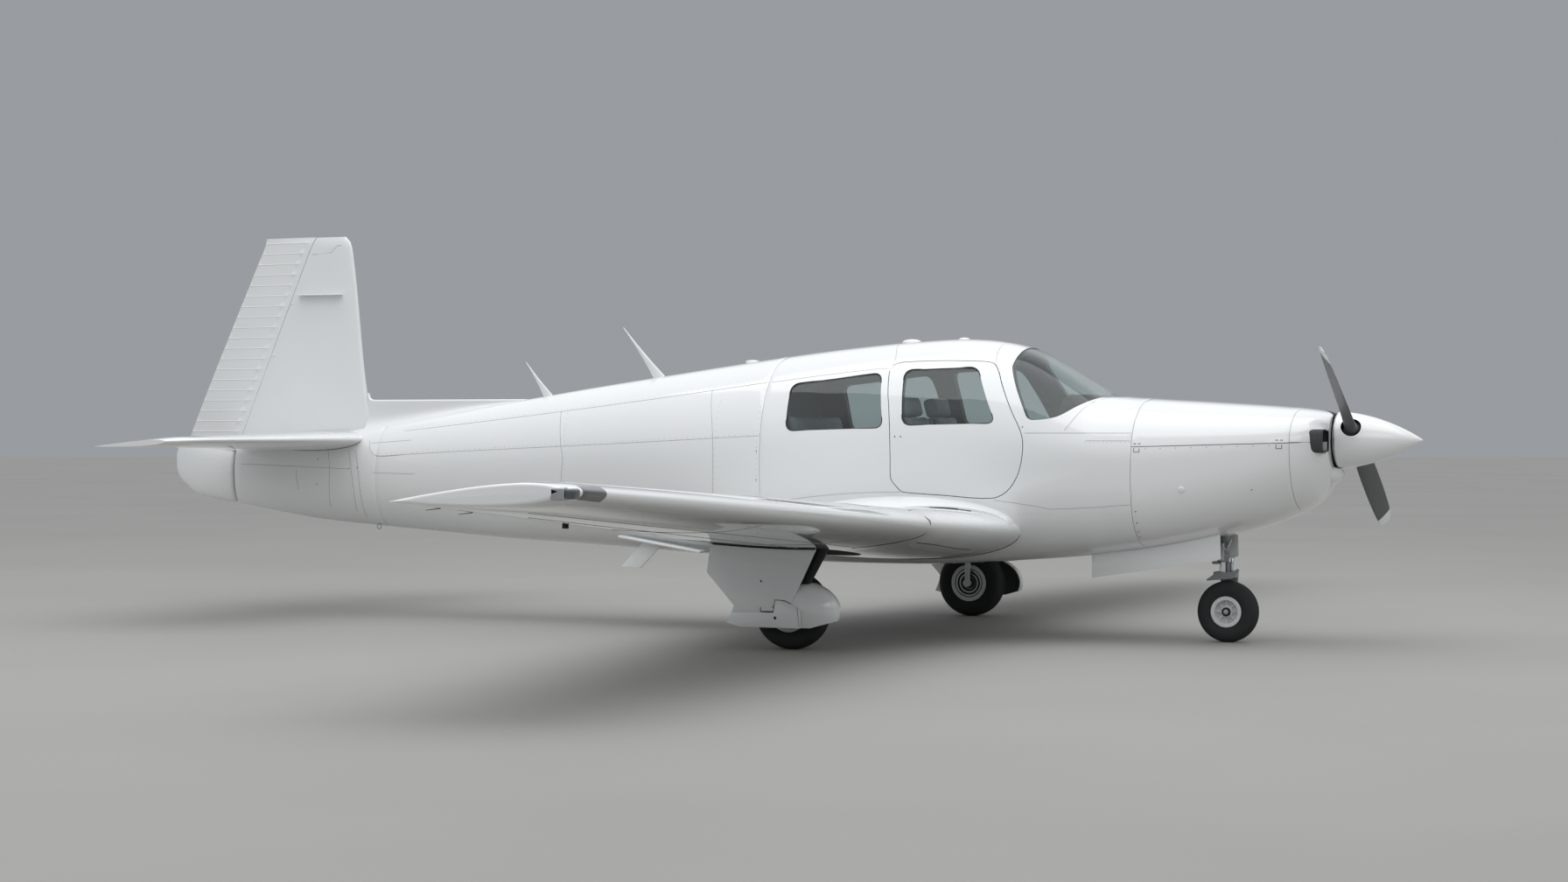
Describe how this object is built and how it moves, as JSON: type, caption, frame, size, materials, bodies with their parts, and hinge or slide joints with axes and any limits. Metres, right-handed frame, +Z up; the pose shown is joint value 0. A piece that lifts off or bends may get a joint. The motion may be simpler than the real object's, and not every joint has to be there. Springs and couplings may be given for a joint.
{
  "type": "light aircraft, low-wing, retractable gear",
  "caption": "Low-wing single-engine light aircraft standing on its tricycle gear, with hinged cabin door, control surfaces, flaps, steered nose wheel and turning propeller.",
  "frame": {"origin": "on the ground, under the middle of the length and span", "axes": "+X forward to the spinner, +Y to port, +Z up"},
  "size_m": [8.322, 11, 2.457],
  "materials": {
    "skin": "gloss",
    "steel": "satin",
    "engine": "matte",
    "blades": "satin",
    "carpet": "matte",
    "panel": "matte",
    "seats": "satin",
    "glass": "polished",
    "gear_steel": "satin",
    "wheels": "satin",
    "tyres": "matte"
  },
  "bodies": {
    "airframe": {"nose_bowl": "skin", "cowl_upper": "skin", "cowl_lower": "skin", "firewall": "steel", "engine_block": "engine", "cabin_shell": "skin", "cabin_floor": "carpet", "instrument_panel": "panel", "seat_right": "seats", "seat_left": "seats", "rear_seat": "seats", "windshield": "glass", "front_window_left": "glass", "rear_window_right": "glass", "rear_window_left": "glass", "tail_cone": "skin", "empennage_cone": "skin", "fin": "skin", "stabilizer_right": "skin", "stabilizer_left": "skin", "wing_right": "skin", "wing_left": "skin", "nose_leg": "gear_steel", "nose_gear_door_right": "skin", "nose_gear_door_left": "skin", "main_leg_right": "gear_steel", "main_leg_left": "gear_steel", "main_gear_door_right": "skin", "main_gear_door_left": "skin", "boarding_step": "skin"},
    "propeller": {"propeller": "blades", "spinner": "skin"},
    "nose_gear_fork": {"nose_fork": "gear_steel"},
    "nose_wheel": {"nose_wheel": "wheels", "nose_tyre": "tyres"},
    "main_wheel_right": {"main_wheel_right": "wheels", "main_tyre_right": "tyres"},
    "main_wheel_left": {"main_wheel_left": "wheels", "main_tyre_left": "tyres"},
    "cabin_door": {"cabin_door": "skin", "door_glass": "glass"},
    "rudder": {"rudder": "skin"},
    "elevators": {"elevator_right": "skin", "elevator_left": "skin"},
    "flap_right": {"flap_right": "skin"},
    "flap_left": {"flap_left": "skin"},
    "aileron_right": {"aileron_right": "skin"},
    "aileron_left": {"aileron_left": "skin"}
  },
  "joints": [
    {"name": "propeller_turn", "type": "hinge", "parent": "airframe", "child": "propeller", "pos_m": [3.789, 0, 1.145], "axis": [1, 0, 0], "continuous": true},
    {"name": "nose_steering", "type": "hinge", "parent": "airframe", "child": "nose_gear_fork", "pos_m": [3.04, 0, 0.4], "axis": [0, 0, 1], "range_deg": [-13, 13]},
    {"name": "nose_wheel_turn", "type": "hinge", "parent": "nose_gear_fork", "child": "nose_wheel", "pos_m": [3.067, 0, 0.1725], "axis": [0, 1, 0], "continuous": true},
    {"name": "main_wheel_right_turn", "type": "hinge", "parent": "airframe", "child": "main_wheel_right", "pos_m": [1.004, -1.435, 0.2132], "axis": [0, 1, 0], "continuous": true},
    {"name": "main_wheel_left_turn", "type": "hinge", "parent": "airframe", "child": "main_wheel_left", "pos_m": [1.004, 1.435, 0.2132], "axis": [0, 1, 0], "continuous": true},
    {"name": "door_swing", "type": "hinge", "parent": "airframe", "child": "cabin_door", "pos_m": [2.04, -0.566, 0.9], "axis": [0, 0.1295, 0.9916], "range_deg": [0, 75]},
    {"name": "rudder_turn", "type": "hinge", "parent": "airframe", "child": "rudder", "pos_m": [-3.641, 0, 1.169], "axis": [0.4054, 0, 0.9141], "range_deg": [-24, 24]},
    {"name": "elevator_turn", "type": "hinge", "parent": "airframe", "child": "elevators", "pos_m": [-3.221, 0, 1.114], "axis": [0, 1, 0], "range_deg": [-10, 24]},
    {"name": "flap_right_turn", "type": "hinge", "parent": "airframe", "child": "flap_right", "pos_m": [0.38149, -0.705, 0.55996], "axis": [0.144, -0.9868, 0.0741], "range_deg": [0, 33]},
    {"name": "flap_left_turn", "type": "hinge", "parent": "airframe", "child": "flap_left", "pos_m": [0.38149, 0.705, 0.55996], "axis": [-0.144, -0.9868, -0.0741], "range_deg": [0, 33]},
    {"name": "aileron_right_turn", "type": "hinge", "parent": "airframe", "child": "aileron_right", "pos_m": [0.86685, -3.43, 0.77019], "axis": [0.1404, -0.9873, 0.0739], "range_deg": [-12, 12]},
    {"name": "aileron_left_turn", "type": "hinge", "parent": "airframe", "child": "aileron_left", "pos_m": [0.86685, 3.43, 0.77019], "axis": [0.1404, 0.9873, 0.0739], "range_deg": [-12, 12]}
  ],
  "couplings": [
    {"joint": "flap_left_turn", "follows": "flap_right_turn", "ratio": 1},
    {"joint": "aileron_left_turn", "follows": "aileron_right_turn", "ratio": 1}
  ]
}
